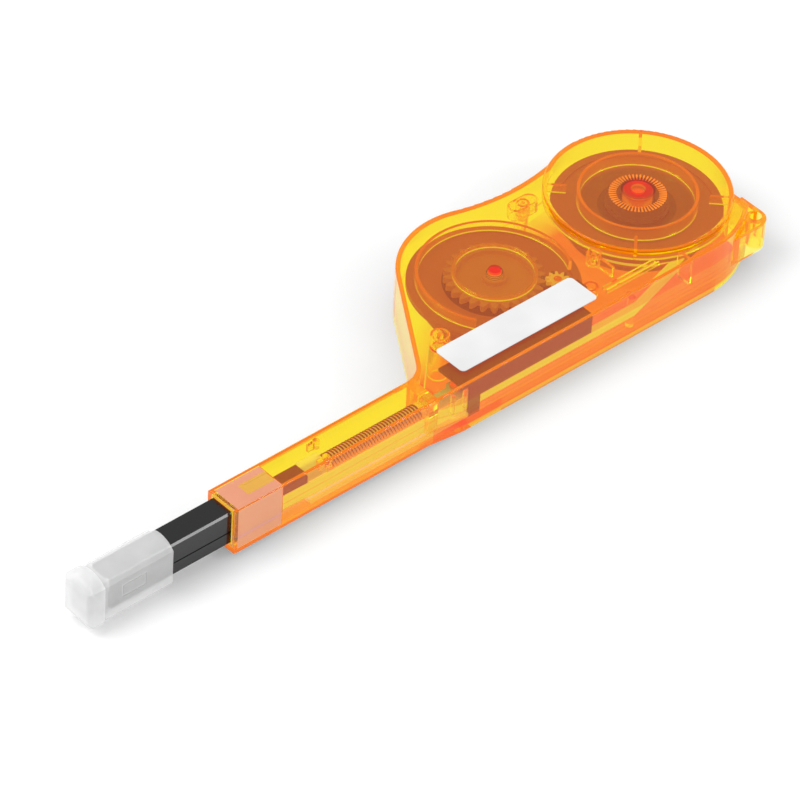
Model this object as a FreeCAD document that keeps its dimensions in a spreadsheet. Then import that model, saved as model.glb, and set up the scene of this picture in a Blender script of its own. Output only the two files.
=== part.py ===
"""Cassette cleaning pen for multi-fibre connectors, as a FreeCAD macro.

Millimetres, +Z up.  The pen lies flat: the table is z = 0, the nozzle points to -X,
the reels are at +X, and the origin is under the middle of the whole pen.
"""
import FreeCAD, Part
import Sketcher
import math
import os
import re
from FreeCAD import Placement, Rotation, Vector

SIZES = [
    # casing
    ("nozzle_y", -20.75, "middle plane of the nozzle"),
    ("nozzle_width", 9.8, "nozzle, side to side"),
    ("nozzle_low", 1.9, "underside of the nozzle above the table"),
    ("mouth_x", -66.7, "front face of the nozzle"),
    ("casing_top", 15.1, "flat top of the casing"),
    ("wall", 1.2, "casing wall, floor and top plate"),
    ("ramp_front", -6.5, "underside: front end of the ramp"),
    ("ramp_rear", 7.7, "underside: rear end of the ramp"),
    ("nozzle_parting", 6.3, "parting line along the nozzle"),
    ("body_parting", 4.4, "parting line round the reels"),
    ("reel_y", 1.6, "line of both reel axles"),
    ("takeup_x", 38.8, "take-up axle"),
    ("supply_x", 86.4, "supply axle"),
    ("corner_x", 18.3, "rear corner wall, behind the supply axle"),
    ("valley_radius", 60.0, "hollow between the two bulges"),
    ("slope_angle", 56.5, "lean of the front bulge's straight side"),
    ("neck_radius", 8.0, "hollow where the nozzle meets the bulge"),
    ("dome_rise", 1.0, "dome above the flat top"),
    ("edge_round", 0.5, "rounding of the casing's outer edges"),
    # strap lug
    ("lug_root_y", 15.2, "inner end of the lug, beside the supply axle"),
    ("lug_top", 12.4, "top of the lug"),
    ("lug_corner", 4.0, "corner rounding of the lug"),
    ("lug_wall", 1.0, "wall of the hollow lug"),
    ("strap_angle", -50.3, "direction of the strap hole from the supply axle"),
    ("strap_gap", 0.4, "plastic between the strap hole and the casing's corner"),
    ("lug_end_x", 2.5, "strap hole's axis to the rear face of the lug"),
    ("lug_end_y", 3.7, "strap hole's axis to the side face of the lug"),
    ("strap_radius", 1.6, "strap hole"),
    # fits
    ("fit", 0.1, "gap between fixed pieces that nest"),
    ("slide_fit", 0.12, "gap round pieces that slide"),
    ("turn_fit", 0.05, "radial gap on turning pieces"),
    ("run_gap", 0.4, "gap between turning pieces and their neighbours"),
    # guide tube, bush and cap
    ("axis_z", 9.0, "height of the guide tube's axis"),
    ("guide_width", 7.0, "guide tube, side to side"),
    ("guide_height", 9.6, "guide tube, bottom to top"),
    ("guide_side", 1.0, "guide tube, side walls"),
    ("guide_roof", 1.0, "guide tube, top wall"),
    ("guide_floor", 0.5, "guide tube, bottom wall"),
    ("guide_tip", -102.3, "front end of the guide tube"),
    ("guide_rear", -52.0, "rear end of the full section"),
    ("guide_back", 2.0, "thickness of the guide tube's back wall"),
    ("guide_chamfer", 0.45, "long edges of the guide tube"),
    ("tail_rear", -42.5, "rear end of the guide tube's tail"),
    ("tail_width", 3.8, "square tail of the guide tube"),
    ("groove_depth", 0.15, "line along the guide tube's side"),
    ("groove_height", 0.4, "line along the guide tube's side"),
    ("groove_z", 8.0, "line along the guide tube's side"),
    ("thin_wall", 0.7, "casing wall round the bush"),
    ("bush_rear", -52.0, "rear end of the bush"),
    ("notch_front", -58.8, "front end of the notch in the bush's top"),
    ("notch_deep", 0.2, "depth of that notch"),
    ("cap_rear", -85.1, "open end of the cap"),
    ("cap_joint", -105.4, "where the end lid meets the cap"),
    ("cap_front", -110.0, "front face of the end lid"),
    ("cap_width", 9.3, "cap, side to side"),
    ("cap_low", 3.4, "underside of the cap"),
    ("cap_shoulder", 13.2, "where the cap's side meets its crown"),
    ("cap_crown", 15.4, "top of the cap's crown"),
    ("lid_step", 0.25, "end lid proud of the cap"),
    ("lid_wall", 1.0, "end lid's wall"),
    ("lid_plug", 2.0, "depth of the end lid's plug in the cap"),
    ("lid_round", 1.6, "rounding of the end lid's front edges"),
    # slide, rack and spring
    ("stroke", 8.0, "travel of the guide tube"),
    ("collar_rear", -36.3, "rear face of the spring collar"),
    ("collar_top", 11.4, "top of the spring collar"),
    ("bar_low", 3.3, "underside of the slide bar"),
    ("bar_thick", 1.0, "slide bar"),
    ("bar_width", 6.8, "slide bar"),
    ("bar_rear", 10.5, "rear end of the slide bar"),
    ("spring_outer", 4.0, "outside diameter of the main spring"),
    ("spring_wire", 0.45, "wire of the main spring"),
    ("spring_turns", 32, "turns of the main spring"),
    ("seat_lead", 0.41, "front face of the spring's rear seat, ahead of the neck's bend"),
    ("seat_thick", 3.0, "rear seat"),
    ("rack_front", 4.2, "front end of the rack plate"),
    ("rack_rear", 46.5, "rear end of the rack plate"),
    ("rack_edge_y", -16.5, "inner edge of the rack plate's front part"),
    ("rack_low", 12.85, "underside of the rack plate"),
    ("rack_top", 13.75, "top of the rack plate"),
    ("leg_front", 7.0, "front end of the rack plate's leg"),
    ("leg_low", 8.5, "lower edge of the rack plate's leg"),
    ("leg_thick", 0.8, "rack plate's leg"),
    ("leg_gap", 0.2, "gap between the leg and the casing"),
    ("rack_module", 0.5, "rack and upper pinion"),
    ("rack_pinion_teeth", 10, "upper pinion"),
    ("rack_teeth", 10, "teeth on the rack"),
    ("rack_lead", 2, "teeth of the rack past the pinion at rest"),
    # gear train
    ("gear_module", 0.9, "take-up gear and lower pinion"),
    ("gear_teeth", 26, "take-up gear"),
    ("pinion_teeth", 8, "lower pinion"),
    ("pinion_angle", -49.0, "where the pinion sits round the take-up axle"),
    ("pressure_angle", 25.0, "all meshing teeth"),
    ("addendum", 0.85, "height of gear and rack teeth above the pitch line, in modules"),
    ("backlash", 0.12, "play between meshing teeth"),
    ("gear_low", 11.0, "underside of the take-up gear"),
    ("gear_top", 12.6, "top of the take-up gear"),
    ("pinion_pin", 1.0, "radius of the pinion's pin"),
    # reels
    ("axle_radius", 1.7, "both axle posts"),
    ("axle_top", 13.4, "top of the take-up axle"),
    ("supply_axle_top", 14.2, "top of the supply axle"),
    ("boss_radius", 4.6, "floor bosses under the reels"),
    ("reel_radius", 21.4, "reel flanges"),
    ("front_gap", 1.45, "gap between the take-up reel and the casing"),
    ("rear_gap", 1.0, "gap between the supply reel and the casing"),
    ("reel_low", 3.4, "underside of both reels"),
    ("reel_top", 10.6, "top of both reels"),
    ("lower_flange", 1.1, "reel's lower flange"),
    ("upper_flange", 1.4, "reel's upper flange"),
    ("rim_groove", 0.4, "step inside the rim of the upper flange"),
    ("rim_width", 2.0, "rim of the upper flange"),
    ("hub_radius", 6.0, "raised hub on top of each reel"),
    ("core_radius", 5.6, "reel core under the tape"),
    ("lower_radius", 17.4, "reel's lower flange"),
    ("supply_pack", 17.0, "radius of the unused tape"),
    ("takeup_pack", 7.6, "radius of the used tape"),
    ("crown_inner_radius", 5.3, "crown wheel, inside"),
    ("crown_outer_radius", 7.2, "crown wheel, outside"),
    ("crown_base", 8.0, "crown wheel, base flange"),
    ("crown_base_thick", 0.7, "crown wheel, base flange"),
    ("crown_top", 14.3, "crown wheel, tips of the teeth"),
    ("crown_teeth", 48, "crown wheel"),
    ("crown_tooth", 0.7, "height of the crown wheel's teeth"),
    ("post_spring_outer", 4.3, "outside diameter of the post spring"),
    ("post_spring_wire", 0.35, "wire of the post spring"),
    ("post_spring_turns", 4, "turns of the post spring"),
    ("post_cap_radius", 1.7, "stop on the ceiling above the take-up axle"),
    ("gear_dish", 9.3, "radius of the dish in the take-up gear"),
    ("gear_web", 0.5, "web of the take-up gear"),
    # tape and head
    ("tape_width", 4.2, "cleaning tape"),
    ("tape_thick", 0.24, "cleaning tape as a solid strip"),
    ("tape_z", 6.9, "middle of the tape at the reels"),
    ("tape_rise_x", -40.0, "where the tape starts to climb to the guide axis"),
    ("tape_offset", 2.25, "each tape run beside the nozzle's middle plane"),
    ("shaft_side", 2.4, "square head shaft"),
    ("shaft_chamfer", 0.45, "long edges of the head shaft"),
    ("shaft_eye_x", 5.5, "pin that holds the head shaft"),
    ("shaft_eye", 1.95, "radius of the head shaft's eye"),
    ("shaft_pin", 1.0, "radius of the pin"),
    ("shaft_foot", 1.5, "radius of the pin's foot"),
    ("head_nose_x", -99.1, "centre of the head's round nose"),
    ("head_half", 1.3, "half the thickness of the cleaning head"),
    ("head_height", 5.8, "cleaning head, bottom to top"),
    ("head_length", 4.0, "cleaning head, from its nose centre back"),
    ("corner_post_x", 62.0, "post where the supply run turns"),
    ("corner_post", 1.0, "radius of that post"),
    ("return_post_x", 12.7, "post where the return run turns"),
    ("return_post_y", -7.7, "post where the return run turns"),
    ("return_post", 2.4, "radius of that post"),
    # ribs and bosses inside the casing
    ("rib", 0.8, "thickness of ribs"),
    ("dome_ring", 15.1, "outer radius of the dome's ring rib"),
    ("dome_ring_low", 11.3, "lower edge of the dome's ring rib"),
    ("skirt_low", 12.2, "lower edge of the dome's wall"),
    ("dome_boss", 3.8, "boss over the supply axle"),
    ("dome_boss_low", 12.0, "lower end of that boss"),
    ("spoke_inner", 17.6, "inner end of the dome's short ribs"),
    ("spoke_low", 12.6, "lower edge of the dome's short ribs"),
    ("front_ring", 10.5, "outer radius of the ring rib over the gear"),
    ("front_ring_low", 13.1, "lower edge of that ring rib"),
    ("arc_wall", 19.4, "outer radius of the curved wall round the gear"),
    ("arc_low", 11.1, "lower edge of the curved wall"),
    ("arc_start", -27.0, "first end of the curved wall"),
    ("arc_end", 214.0, "last end of the curved wall"),
    ("latch_x", 61.8, "middle of the latch between the bulges"),
    ("latch_y", 16.6, "middle of the latch between the bulges"),
    ("latch_length", 8.8, "latch block"),
    ("latch_width", 4.4, "latch block"),
    ("latch_boss", 1.7, "round boss in the latch"),
    ("mid_boss_x", 62.3, "boss between the reels"),
    ("mid_boss_y", -8.4, "boss between the reels"),
    ("mid_boss", 1.9, "boss between the reels"),
    ("boss_deep", 3.0, "depth of the bosses that hang from the ceiling"),
    ("boss_wall", 0.6, "wall of those bosses and of the sockets under them"),
    ("neck_rib_deep", 1.0, "upright ribs inside the side wall, how far they stand out"),
    ("neck_rib_front", 1.8, "first of those ribs"),
    ("neck_rib_rear", 5.7, "second of those ribs"),
    ("hook_x", -36.4, "middle of the hooks over the spring collar"),
    ("hook_radius", 0.9, "round ends of those hooks"),
    ("rail_front", 55.2, "rails behind the rack plate"),
    ("rail_rear", 72.5, "rails behind the rack plate"),
    ("rail_deep", 1.0, "depth of those rails"),
    ("rail_thick", 0.5, "thickness of those rails"),
    ("stop_x", 79.2, "stop rib at the rear of the straight side"),
    # label
    ("label_x", 29.0, "middle of the label"),
    ("label_y", -16.95, "middle of the label"),
    ("label_length", 44.0, "label"),
    ("label_width", 10.0, "label"),
    ("label_corner", 1.2, "label"),
    ("label_thick", 0.15, "label"),
]

DERIVED = {
    "front_radius": "reel_radius + front_gap + wall",
    "rear_radius": "reel_radius + rear_gap + wall",
    "neck_y": "far_y + neck_radius - reel_y",
    "neck_x": "takeup_x - (front_radius + neck_radius - neck_y * cos(slope_angle)) / sin(slope_angle)",
    "seat_front": "neck_x - seat_lead",
    "strap_reach": "reel_y - side_y + strap_gap + strap_radius",
    "strap_x": "strap_reach * cos(strap_angle)",
    "strap_y": "strap_reach * sin(strap_angle)",
    "lug_reach_x": "strap_x + lug_end_x",
    "lug_reach_y": "lug_end_y - strap_y",
    "side_y": "nozzle_y - nozzle_width / 2",
    "far_y": "nozzle_y + nozzle_width / 2",
    "ceiling": "casing_top - wall",
    "dome_top": "casing_top + dome_rise",
    "dome_ceiling": "dome_top - wall",
    "guide_low": "axis_z - guide_height / 2",
    "guide_top": "axis_z + guide_height / 2",
    "bore_half": "guide_width / 2 - guide_side",
    "bore_low": "guide_low + guide_floor",
    "bore_top": "guide_top - guide_roof",
    "tail_half": "tail_width / 2",
    "tail_bore": "shaft_side / 2 + slide_fit",
    "bar_top": "bar_low + bar_thick",
    "leg_y": "side_y + wall + leg_gap",
    "gear_pitch": "gear_teeth * gear_module / 2",
    "pinion_pitch": "pinion_teeth * gear_module / 2",
    "centres": "gear_pitch + pinion_pitch",
    "pinion_x": "takeup_x + centres * cos(pinion_angle)",
    "pinion_y": "reel_y + centres * sin(pinion_angle)",
    "rack_pitch_radius": "rack_pinion_teeth * rack_module / 2",
    "rack_pitch_y": "pinion_y - rack_pitch_radius",
    "rack_root_y": "rack_pitch_y - 1.25 * rack_module",
    "rack_tip_y": "rack_pitch_y + addendum * rack_module",
    "rack_end": "pinion_x + tooth_step * (rack_lead + 0.3)",
    "rack_start": "pinion_x - tooth_step * (rack_teeth - rack_lead + 0.1)",
    "tooth_step": "pi * rack_module",
    "pack_low": "tape_z - tape_width / 2",
    "pack_top": "tape_z + tape_width / 2",
    "post_gap": "tape_thick / 2 + 0.02",
    "web_top": "gear_low + gear_web",
    "corner_post_y": "nozzle_y - tape_offset + corner_post + post_gap",
}

doc = FreeCAD.newDocument("cleaning_pen")
sheet = doc.addObject("Spreadsheet::Sheet", "Sheet")
for row, (alias, value, meaning) in enumerate(SIZES, 1):
    sheet.set(f"A{row}", meaning)
    sheet.set(f"B{row}", str(value))
    sheet.setAlias(f"B{row}", alias)
doc.recompute()

ALIASES = {alias for alias, value, meaning in SIZES}
WORD = re.compile(r"[a-z]\w+")
NODES = []


def bound(text):
    """Turn size names into references to the sheet's cells."""
    def swap(match):
        word = match.group(0)
        if word in DERIVED:
            return "(" + bound(DERIVED[word]) + ")"
        return "Sheet." + word if word in ALIASES else word
    return WORD.sub(swap, text)


def size(text):
    """The value of an expression in millimetres, degrees or a plain number."""
    answer = sheet.evalExpression(bound(text))
    return float(getattr(answer, "Value", answer))


def bind(thing, prop, text):
    thing.setExpression(prop, bound(text))


def node(thing, label):
    """Keep a finished sub-part under its node's name."""
    thing.Label = label
    NODES.append(thing)
    return thing


# ---------------------------------------------------------------- Part helpers

def box(name, x, y, z):
    """A block between pairs of faces, each pair given as (low, high)."""
    block = doc.addObject("Part::Box", name)
    for axis, side, (low, high) in zip("xyz", ("Length", "Width", "Height"), (x, y, z)):
        bind(block, side, f"({high}) - ({low})")
        bind(block, f"Placement.Base.{axis}", low)
    return block


def post(name, radius, x, y, z):
    """An upright cylinder between the heights (low, high)."""
    round_bar = doc.addObject("Part::Cylinder", name)
    low, high = z
    bind(round_bar, "Radius", radius)
    bind(round_bar, "Height", f"({high}) - ({low})")
    for axis, place in zip("xyz", (x, y, low)):
        bind(round_bar, f"Placement.Base.{axis}", place)
    return round_bar


def cut(name, base, tool):
    result = doc.addObject("Part::Cut", name)
    result.Base = base
    result.Tool = tool
    return result


def fuse(name, shapes):
    result = doc.addObject("Part::MultiFuse", name)
    result.Shapes = shapes
    result.Refine = True
    return result


def common(name, base, tool):
    result = doc.addObject("Part::Common", name)
    result.Base = base
    result.Tool = tool
    return result


def tube(name, outer, inner, x, y, z):
    low, high = z
    skin = post(name + "_skin", outer, x, y, z)
    hole = post(name + "_hole", inner, x, y, (f"({low}) - 1", f"({high}) + 1"))
    return cut(name, skin, hole)


def extrude(name, sketch, length, direction=Vector(0, 0, 1)):
    result = doc.addObject("Part::Extrusion", name)
    result.Base = sketch
    result.DirMode = "Custom"
    result.Dir = direction
    result.Solid = True
    bind(result, "LengthFwd", length)
    return result


def pick_edges(shape, test):
    """Numbers of a shape's edges that pass a test."""
    return [number for number, edge in enumerate(shape.Edges, 1) if test(edge)]


def rounded(name, base, test, radius):
    """Round the edges of a shape that pass a test."""
    doc.recompute()
    result = doc.addObject("Part::Fillet", name)
    result.Base = base
    amount = size(radius)
    result.Edges = [(number, amount, amount) for number in pick_edges(base.Shape, test)]
    return result


def flat_at(height):
    """A test for edges that lie in one level plane."""
    def test(edge):
        bounds = edge.BoundBox
        return abs(bounds.ZMin - height) < 1e-4 and abs(bounds.ZMax - height) < 1e-4
    return test


# ------------------------------------------------------------ Sketcher helpers

PLANES = {"XY": Rotation(), "XZ": Rotation(Vector(1, 0, 0), 90),
          "YZ": Rotation(Vector(1, 1, 1), 120)}


def new_sketch(name, plane, body=None, offset="0"):
    """An empty sketch: free in the document, or flat on a plane of its body."""
    if body is None:
        sketch = doc.addObject("Sketcher::SketchObject", name)
        sketch.Placement = Placement(Vector(), PLANES[plane])
        along = {"XY": "z", "XZ": "y", "YZ": "x"}[plane]
        bind(sketch, f"Placement.Base.{along}", offset)
        return sketch
    sketch = body.newObject("Sketcher::SketchObject", name)
    support = [item for item in body.Origin.OriginFeatures if item.Role == plane + "_Plane"]
    sketch.AttachmentSupport = [(support[0], "")]
    sketch.MapMode = "FlatFace"
    sign = "-" if plane == "XZ" else ""
    bind(sketch, "AttachmentOffset.Base.z", f"{sign}({offset})")
    return sketch


def hold(sketch, kind, place, text, *ends):
    """Add a dimension and bind it to an expression."""
    number = sketch.addConstraint(Sketcher.Constraint(kind, *ends, place))
    bind(sketch, f"Constraints[{number}]", text)


def pin(sketch, geometry, end, x, y):
    """Fix a point of a sketch by two dimensions from the origin."""
    hold(sketch, "DistanceX", size(x), x, -1, 1, geometry, end)
    hold(sketch, "DistanceY", size(y), y, -1, 1, geometry, end)


def polygon(name, corners, plane="XY", body=None, offset="0"):
    """A closed outline of straight lines; each corner is a pair of expressions."""
    sketch = new_sketch(name, plane, body, offset)
    spots = [Vector(size(a), size(b), 0) for a, b in corners]
    count = len(spots)
    for index in range(count):
        sketch.addGeometry(Part.LineSegment(spots[index], spots[(index + 1) % count]), False)
    for index in range(count):
        ends = (index, 2, (index + 1) % count, 1)
        sketch.addConstraint(Sketcher.Constraint("Coincident", *ends))
    for index, (a, b) in enumerate(corners):
        pin(sketch, index, 1, a, b)
    return sketch


def rectangle(name, across, up, plane, body, offset="0"):
    low_a, high_a = across
    low_b, high_b = up
    corners = [(low_a, low_b), (high_a, low_b), (high_a, high_b), (low_a, high_b)]
    return polygon(name, corners, plane, body, offset)


def new_body(name):
    return doc.addObject("PartDesign::Body", name)


def pad(body, sketch, length, name="Pad"):
    feature = body.newObject("PartDesign::Pad", name)
    feature.Profile = sketch
    bind(feature, "Length", length)
    doc.recompute()
    return feature


def pocket(body, sketch, length, name="Pocket", backwards=True):
    """Cut along the sketch's normal, or against it."""
    before = body.Tip.Shape.Volume
    feature = body.newObject("PartDesign::Pocket", name)
    feature.Profile = sketch
    feature.Reversed = backwards
    bind(feature, "Length", length)
    doc.recompute()
    if feature.Shape.Volume > before - 1e-3:
        raise RuntimeError(f"{body.Name} {name} cuts nothing")
    return feature


def revolve(name, corners, x, y):
    """A turned body about an upright axle; corners are (radius, height) pairs."""
    body = new_body(name)
    sketch = polygon(name + "_profile", corners, "XZ", body)
    turned = body.newObject("PartDesign::Revolution", "Revolution")
    turned.Profile = sketch
    turned.ReferenceAxis = (sketch, ["V_Axis"])
    turned.Angle = 360
    bind(body, "Placement.Base.x", x)
    bind(body, "Placement.Base.y", y)
    doc.recompute()
    return body


# -------------------------------------------------------------------- casing

def casing_outline(name, inset, front):
    """The plan outline of the casing, moved inwards by a wall."""
    sketch = new_sketch(name, "XY")
    gap = size(inset)
    supply = Vector(size("supply_x"), size("reel_y"), 0)
    takeup = Vector(size("takeup_x"), size("reel_y"), 0)
    low_y = size("side_y") + gap
    high_y = size("far_y") - gap
    corner_x = supply.x + size("corner_x") - gap
    corner_radius = supply.y - low_y
    rear = size("rear_radius") - gap
    bulge = size("front_radius") - gap
    valley = size("valley_radius") + gap
    neck = size("neck_radius") + gap
    slope = math.radians(size("slope_angle"))

    reach = supply.x - takeup.x
    along = ((bulge + valley) ** 2 - (rear + valley) ** 2 + reach ** 2) / (2 * reach)
    valley_centre = takeup + Vector(along, math.sqrt((bulge + valley) ** 2 - along ** 2), 0)
    outward = Vector(-math.sin(slope), math.cos(slope), 0)
    neck_y = high_y + neck
    neck_x = takeup.x + ((bulge + neck) - (neck_y - takeup.y) * outward.y) / outward.x
    neck_centre = Vector(neck_x, neck_y, 0)

    start = Vector(size(front), low_y, 0)
    foot = Vector(supply.x, low_y, 0)
    drop = corner_x - supply.x
    corner_low = Vector(corner_x, supply.y - math.sqrt(corner_radius ** 2 - drop ** 2), 0)
    corner_high = Vector(corner_x, supply.y - math.sqrt(rear ** 2 - drop ** 2), 0)
    rear_join = supply + (valley_centre - supply).normalize() * rear
    front_join = takeup + (valley_centre - takeup).normalize() * bulge
    slope_high = takeup + outward * bulge
    slope_low = neck_centre - outward * neck
    neck_end = Vector(neck_x, high_y, 0)
    last = Vector(start.x, high_y, 0)

    def arc(centre, radius, first, second):
        angles = [math.atan2(spot.y - centre.y, spot.x - centre.x) for spot in (first, second)]
        if angles[1] < angles[0]:
            angles[1] += 2 * math.pi
        circle = Part.Circle(centre, Vector(0, 0, 1), radius)
        return sketch.addGeometry(Part.ArcOfCircle(circle, *angles), False)

    def line(first, second):
        return sketch.addGeometry(Part.LineSegment(first, second), False)

    def join(kind, *ends):
        sketch.addConstraint(Sketcher.Constraint(kind, *ends))

    side = line(start, foot)
    corner = arc(supply, corner_radius, foot, corner_low)
    back = line(corner_low, corner_high)
    round_rear = arc(supply, rear, corner_high, rear_join)
    hollow = arc(valley_centre, valley, front_join, rear_join)
    round_front = arc(takeup, bulge, front_join, slope_high)
    slant = line(slope_low, slope_high)
    neck_arc = arc(neck_centre, neck, neck_end, slope_low)
    far = line(neck_end, last)
    mouth = line(last, start)
    join("Tangent", side, 2, corner, 1)
    join("Coincident", corner, 2, back, 1)
    join("Coincident", back, 2, round_rear, 1)
    join("Tangent", round_rear, 2, hollow, 2)
    join("Tangent", hollow, 1, round_front, 1)
    join("Tangent", round_front, 2, slant, 2)
    join("Tangent", slant, 1, neck_arc, 2)
    join("Tangent", neck_arc, 1, far, 1)
    join("Coincident", far, 2, mouth, 1)
    join("Coincident", mouth, 2, side, 1)
    join("Horizontal", side)
    join("Horizontal", far)
    join("Vertical", back)
    join("Vertical", mouth)
    join("Coincident", corner, 3, round_rear, 3)
    pin(sketch, round_rear, 3, "supply_x", "reel_y")
    pin(sketch, round_front, 3, "takeup_x", "reel_y")
    pin(sketch, side, 1, front, f"side_y + {inset}")
    hold(sketch, "DistanceY", high_y, f"far_y - {inset}", -1, 1, far, 2)
    hold(sketch, "DistanceX", corner_x, f"supply_x + corner_x - {inset}", -1, 1, back, 1)
    hold(sketch, "Radius", rear, f"rear_radius - {inset}", round_rear)
    hold(sketch, "Radius", bulge, f"front_radius - {inset}", round_front)
    hold(sketch, "Radius", valley, f"valley_radius + {inset}", hollow)
    hold(sketch, "Radius", neck, f"neck_radius + {inset}", neck_arc)
    hold(sketch, "Angle", slope, "slope_angle * 1 deg", slant)
    return sketch


def side_profile(name, corners):
    """A side view swept across the whole pen."""
    sketch = polygon(name + "_sketch", corners, "XZ", None, "side_y - 5")
    return extrude(name, sketch, "front_radius * 2 + nozzle_width + 20", Vector(0, 1, 0))


def underside(name, lift):
    """What lies under the ramp and the nozzle, raised by a wall if asked."""
    return side_profile(name, [
        ("mouth_x - 5", "-5"), ("ramp_rear", "-5"), ("ramp_rear", lift),
        ("ramp_front", f"nozzle_low + {lift}"), ("mouth_x - 5", f"nozzle_low + {lift}")])


outer_prism = extrude("outer_prism", casing_outline("outer_sketch", "0", "mouth_x"), "casing_top")
softened = rounded("softened", outer_prism, flat_at(size("casing_top")), "edge_round")
softened_low = rounded("softened_low", softened, flat_at(0), "edge_round")
dome_plain = post("dome_plain", "rear_radius", "supply_x", "reel_y",
                  ("casing_top - wall", "dome_top"))
dome = rounded("dome", dome_plain, flat_at(size("dome_top")), "edge_round")

LUG_X = "supply_x + lug_reach_x"
LUG_Y = "reel_y - lug_reach_y"


def lug_block(name, inset, z):
    """The strap lug's block with its round corner, moved inwards by a wall."""
    inner = ("supply_x", f"{LUG_X} - {inset}")
    radius = f"lug_corner - {inset}"
    inner_short = (inner[0], f"{LUG_X} - lug_corner")
    root = f"reel_y - lug_root_y - {inset}"
    return fuse(name, [
        box(name + "_wide", inner_short, (f"{LUG_Y} + {inset}", root), z),
        box(name + "_deep", inner, (f"{LUG_Y} + lug_corner", root), z),
        post(name + "_corner", radius, f"{LUG_X} - lug_corner", f"{LUG_Y} + lug_corner", z)])


lug = lug_block("lug", "0", ("body_parting", "lug_top"))
casing_solid = cut("casing_solid", fuse("casing_fused", [softened_low, dome, lug]),
                   underside("under_ramp", "0"))

inner_prism = extrude("inner_prism", casing_outline("inner_sketch", "wall", "mouth_x + wall"),
                      "casing_top - 2 * wall")
bind(inner_prism, "Placement.Base.z", "wall")
hollow_low = cut("hollow_low", inner_prism, underside("inner_ramp", "wall"))
hollow_dome = post("hollow_dome", "rear_radius - wall", "supply_x", "reel_y",
                   ("ceiling - wall", "dome_ceiling"))
bush_room = box("bush_room", ("mouth_x + wall", "bush_rear + fit"),
                ("side_y + thin_wall", "far_y - thin_wall"),
                ("nozzle_low + thin_wall", "casing_top - thin_wall"))
mouth_hole = box("mouth_hole", ("mouth_x - 1", "mouth_x + wall + 1"),
                 ("nozzle_y - guide_width / 2 - slide_fit", "nozzle_y + guide_width / 2 + slide_fit"),
                 ("guide_low - slide_fit", "guide_top + slide_fit"))
cavity = fuse("cavity", [hollow_low, hollow_dome, bush_room, mouth_hole])

strap_spot = ("supply_x + strap_x", "reel_y + strap_y")
strap_hole = post("strap_hole", "strap_radius", *strap_spot, ("0", "casing_top"))
shell_disc = post("shell_disc", "reel_y - side_y", "supply_x", "reel_y", ("0", "casing_top"))
lug_core = lug_block("lug_core", "lug_wall", ("body_parting - 1", "lug_top - lug_wall"))
strap_sleeve = post("strap_sleeve", "strap_radius + lug_wall", *strap_spot, ("0", "casing_top"))
lug_hollow = cut("lug_hollow", cut("lug_core_trimmed", lug_core, shell_disc), strap_sleeve)
casing = cut("casing", casing_solid, fuse("casing_voids", [cavity, lug_hollow, strap_hole]))

lower_region = side_profile("lower_region", [
    ("mouth_x - 5", "-1"), ("supply_x + 40", "-1"), ("supply_x + 40", "body_parting"),
    ("ramp_rear", "body_parting"), ("ramp_front", "nozzle_parting"),
    ("mouth_x - 5", "nozzle_parting")])

# ----------------------------------------------------------------- lower shell

LOWER = [common("lower_half", casing, lower_region)]
for side, x, top in (("takeup", "takeup_x", "axle_top"), ("supply", "supply_x", "supply_axle_top")):
    LOWER.append(post(side + "_axle", "axle_radius", x, "reel_y", ("wall / 2", top)))
    LOWER.append(post(side + "_boss", "boss_radius", x, "reel_y", ("wall / 2", "reel_low - fit")))
LOWER.append(post("corner_pillar", "corner_post", "corner_post_x", "corner_post_y",
                  ("wall / 2", "pack_top + 1")))
LOWER.append(tube("return_pillar", "return_post", "return_post - boss_wall", "return_post_x",
                  "return_post_y", ("0.9 * wall", "pack_top + 1")))
LOWER.append(post("shaft_foot_post", "shaft_foot", "shaft_eye_x", "nozzle_y",
                  ("0.75 * wall", "axis_z - shaft_side / 2 - fit")))
LOWER.append(post("shaft_pin_post", "shaft_pin", "shaft_eye_x", "nozzle_y",
                  ("wall", "axis_z + shaft_side / 2 + 0.8")))
LOWER.append(tube("latch_socket", "latch_boss", "latch_boss - boss_wall", "latch_x", "latch_y",
                  ("0.9 * wall", "ceiling - boss_deep - fit")))
LOWER.append(tube("mid_socket", "mid_boss", "mid_boss - boss_wall", "mid_boss_x", "mid_boss_y",
                  ("0.9 * wall", "reel_low")))
lower_shell = node(fuse("lower_shell", LOWER), "lower_shell")

# ----------------------------------------------------------------- upper shell

ROOF = "ceiling + wall / 2"
DOME_ROOF = "dome_ceiling + wall / 2"


def turned_corner(x, y, angle, along, across):
    """A point given along and across a direction from a centre, as expressions."""
    a = f"{x} + ({along}) * cos({angle}) - ({across}) * sin({angle})"
    b = f"{y} + ({along}) * sin({angle}) + ({across}) * cos({angle})"
    return a, b


def spoke(name, x, y, angle, reach, thick, z):
    """A straight rib that points away from an axle."""
    inner, outer = reach
    half = f"{thick} / 2"
    corners = [turned_corner(x, y, angle, inner, f"-{half}"),
               turned_corner(x, y, angle, outer, f"-{half}"),
               turned_corner(x, y, angle, outer, half),
               turned_corner(x, y, angle, inner, half)]
    low, high = z
    sketch = polygon(name + "_sketch", corners, "XY", None, low)
    return extrude(name, sketch, f"({high}) - ({low})")


def arc_tube(name, outer, inner, x, y, z, first, last):
    """Part of an upright tube between two angles."""
    low, high = z
    pieces = []
    for tail, radius, bottom, top in (("_skin", outer, low, high),
                                      ("_hole", inner, f"({low}) - 1", f"({high}) + 1")):
        piece = post(name + tail, radius, x, y, (bottom, top))
        pieces.append(piece)
    bind(pieces[0], "Angle", f"{last} - ({first})")
    pieces[0].Placement = Placement(pieces[0].Placement.Base,
                                    Rotation(Vector(0, 0, 1), size(first)))
    return cut(name, *pieces)


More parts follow.
